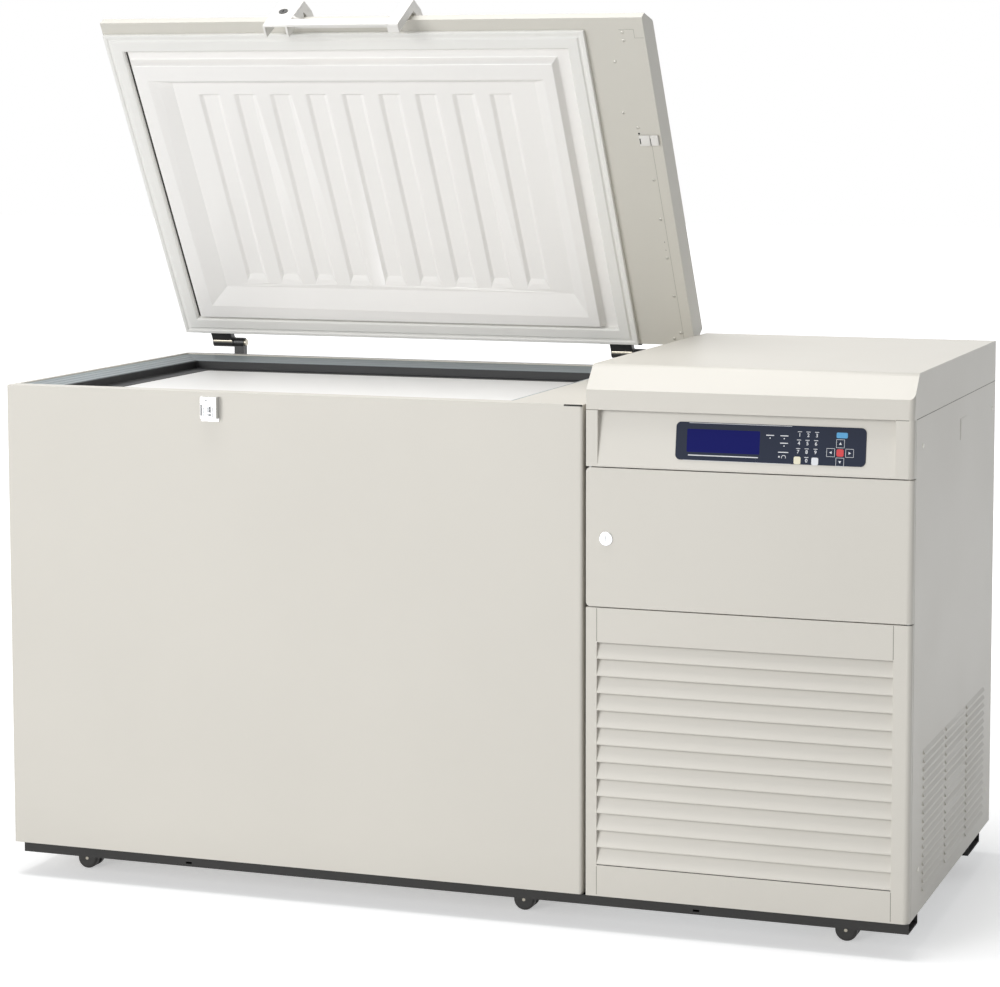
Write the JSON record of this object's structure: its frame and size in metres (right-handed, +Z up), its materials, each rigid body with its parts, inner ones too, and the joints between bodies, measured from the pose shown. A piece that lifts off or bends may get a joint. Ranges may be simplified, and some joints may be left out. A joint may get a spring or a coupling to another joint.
{
  "type": "chest ultra low temperature freezer",
  "caption": "Chest ultra low temperature freezer with its hinged lid standing open, an inner lid, and a machine section with control panel, door and louvred grille, on casters.",
  "frame": {"origin": "on the floor, under the middle of the object's bounding box", "axes": "+X along the width from the chest section to the machine section, +Y from the front to the back, +Z up"},
  "size_m": [1.7336, 0.8128, 1.6633],
  "materials": {
    "cabinet_paint": "satin off-white powder paint",
    "foam": "closed-cell foam",
    "liner_white": "moulded white plastic",
    "frame_grey": "extruded blue-grey plastic",
    "black_plastic": "satin black plastic",
    "seal_rubber": "soft black rubber",
    "gasket_rubber": "soft light grey seal",
    "chrome_plate": "polished chrome plate",
    "galvanised": "galvanised sheet steel",
    "overlay": "printed dark grey polyester sheet",
    "display": "dark blue display window",
    "circuit_board": "green circuit board",
    "fin_aluminium": "plain fins",
    "black_steel": "black painted steel",
    "copper": "copper tube",
    "base_steel": "dark grey painted steel",
    "zinc_steel": "zinc plated steel",
    "handle_white": "moulded white plastic",
    "filter_plastic": "fine dark mesh in a plastic frame",
    "fan_plastic": "black plastic",
    "wheel_plastic": "hard grey plastic"
  },
  "bodies": {
    "cabinet": {"outer_case": "cabinet_paint", "chest_insulation": "foam", "inner_liner": "liner_white", "top_frame": "frame_grey", "breaker_strip": "black_plastic", "port_plug": "seal_rubber", "lid_strike": "chrome_plate", "machine_cover": "cabinet_paint", "machine_frame": "galvanised", "control_fascia": "cabinet_paint", "control_overlay": "overlay", "display_window": "display", "control_board": "circuit_board", "side_panel": "cabinet_paint", "rear_panel": "cabinet_paint", "power_inlet": "black_plastic", "electrical_box": "galvanised", "backup_battery": "black_plastic", "condenser": "fin_aluminium", "filter_guides": "galvanised", "fan_shroud": "galvanised", "fan_motor": "black_steel", "heat_exchanger": "foam", "refrigerant_pipes": "copper", "base_front_rail": "base_steel", "base_rear_rail": "base_steel", "base_cross_members": "base_steel", "caster_plates": "zinc_steel", "compressor_low_stage": "black_steel", "compressor_high_stage": "black_steel", "hinge_bracket_left": "black_steel", "hinge_bracket_right": "black_steel", "hinge_pins": "zinc_steel"},
    "lid": {"lid_skin": "cabinet_paint", "lid_insulation": "foam", "lid_liner": "liner_white", "lid_gasket": "gasket_rubber", "lid_handle": "handle_white", "hinge_leaf_left": "zinc_steel", "hinge_leaf_right": "zinc_steel"},
    "lid_lock_cylinder": {"lid_lock": "chrome_plate"},
    "inner_lid_panel": {"inner_lid": "liner_white"},
    "service_door": {"front_door": "cabinet_paint"},
    "door_lock_cylinder": {"door_lock": "chrome_plate"},
    "intake_grille": {"front_grille": "cabinet_paint"},
    "filter_screen": {"condenser_filter": "filter_plastic"},
    "fan_wheel": {"fan_blade": "fan_plastic"},
    "caster_swivel_1": {"caster_fork_1": "zinc_steel"},
    "caster_wheel_pair_1": {"caster_wheels_1": "wheel_plastic"},
    "caster_swivel_2": {"caster_fork_2": "zinc_steel"},
    "caster_wheel_pair_2": {"caster_wheels_2": "wheel_plastic"},
    "caster_swivel_3": {"caster_fork_3": "zinc_steel"},
    "caster_wheel_pair_3": {"caster_wheels_3": "wheel_plastic"},
    "caster_swivel_4": {"caster_fork_4": "zinc_steel"},
    "caster_wheel_pair_4": {"caster_wheels_4": "wheel_plastic"},
    "caster_swivel_5": {"caster_fork_5": "zinc_steel"},
    "caster_wheel_pair_5": {"caster_wheels_5": "wheel_plastic"},
    "caster_swivel_6": {"caster_fork_6": "zinc_steel"},
    "caster_wheel_pair_6": {"caster_wheels_6": "wheel_plastic"}
  },
  "joints": [
    {"name": "lid_hinge", "type": "hinge", "parent": "cabinet", "child": "lid", "pos_m": [-0.32675, 0.38358, 0.964], "axis": [-1, 0, 0], "range_deg": [-60, 8]},
    {"name": "lid_lock_turn", "type": "hinge", "parent": "lid", "child": "lid_lock_cylinder", "pos_m": [-0.44775, -0.0353, 1.63553], "axis": [0, 0.5, -0.866], "range_deg": [0, 90]},
    {"name": "inner_lid_lift", "type": "slide", "parent": "cabinet", "child": "inner_lid_panel", "axis": [0, 0, 1], "range_m": [0, 0.14]},
    {"name": "service_door_hinge", "type": "hinge", "parent": "cabinet", "child": "service_door", "pos_m": [0.85525, -0.37942, 0.709], "axis": [0, 0, 1], "range_deg": [0, 95]},
    {"name": "door_lock_turn", "type": "hinge", "parent": "service_door", "child": "door_lock_cylinder", "pos_m": [0.31825, -0.37742, 0.706], "axis": [0, 1, 0], "range_deg": [0, 90]},
    {"name": "intake_grille_pull", "type": "slide", "parent": "cabinet", "child": "intake_grille", "axis": [0, -1, 0], "range_m": [0, 0.12]},
    {"name": "filter_pull", "type": "slide", "parent": "cabinet", "child": "filter_screen", "axis": [0, -1, 0], "range_m": [0, 0.03]},
    {"name": "fan_spin", "type": "hinge", "parent": "cabinet", "child": "fan_wheel", "pos_m": [0.57225, -0.24842, 0.278], "axis": [0, 1, 0], "continuous": true},
    {"name": "caster_swivel_turn_1", "type": "hinge", "parent": "cabinet", "child": "caster_swivel_1", "pos_m": [-0.76875, -0.28342, 0.044], "axis": [0, 0, 1], "continuous": true},
    {"name": "caster_wheel_roll_1", "type": "hinge", "parent": "caster_swivel_1", "child": "caster_wheel_pair_1", "pos_m": [-0.75775, -0.28342, 0.02], "axis": [0, 1, 0], "continuous": true},
    {"name": "caster_swivel_turn_2", "type": "hinge", "parent": "cabinet", "child": "caster_swivel_2", "pos_m": [0.12325, -0.28342, 0.044], "axis": [0, 0, 1], "continuous": true},
    {"name": "caster_wheel_roll_2", "type": "hinge", "parent": "caster_swivel_2", "child": "caster_wheel_pair_2", "pos_m": [0.13425, -0.28342, 0.02], "axis": [0, 1, 0], "continuous": true},
    {"name": "caster_swivel_turn_3", "type": "hinge", "parent": "cabinet", "child": "caster_swivel_3", "pos_m": [0.72325, -0.28342, 0.044], "axis": [0, 0, 1], "continuous": true},
    {"name": "caster_wheel_roll_3", "type": "hinge", "parent": "caster_swivel_3", "child": "caster_wheel_pair_3", "pos_m": [0.73425, -0.28342, 0.02], "axis": [0, 1, 0], "continuous": true},
    {"name": "caster_swivel_turn_4", "type": "hinge", "parent": "cabinet", "child": "caster_swivel_4", "pos_m": [-0.76875, 0.21508, 0.044], "axis": [0, 0, 1], "continuous": true},
    {"name": "caster_wheel_roll_4", "type": "hinge", "parent": "caster_swivel_4", "child": "caster_wheel_pair_4", "pos_m": [-0.75775, 0.21508, 0.02], "axis": [0, 1, 0], "continuous": true},
    {"name": "caster_swivel_turn_5", "type": "hinge", "parent": "cabinet", "child": "caster_swivel_5", "pos_m": [0.12325, 0.21508, 0.044], "axis": [0, 0, 1], "continuous": true},
    {"name": "caster_wheel_roll_5", "type": "hinge", "parent": "caster_swivel_5", "child": "caster_wheel_pair_5", "pos_m": [0.13425, 0.21508, 0.02], "axis": [0, 1, 0], "continuous": true},
    {"name": "caster_swivel_turn_6", "type": "hinge", "parent": "cabinet", "child": "caster_swivel_6", "pos_m": [0.72325, 0.21508, 0.044], "axis": [0, 0, 1], "continuous": true},
    {"name": "caster_wheel_roll_6", "type": "hinge", "parent": "caster_swivel_6", "child": "caster_wheel_pair_6", "pos_m": [0.73425, 0.21508, 0.02], "axis": [0, 1, 0], "continuous": true}
  ]
}
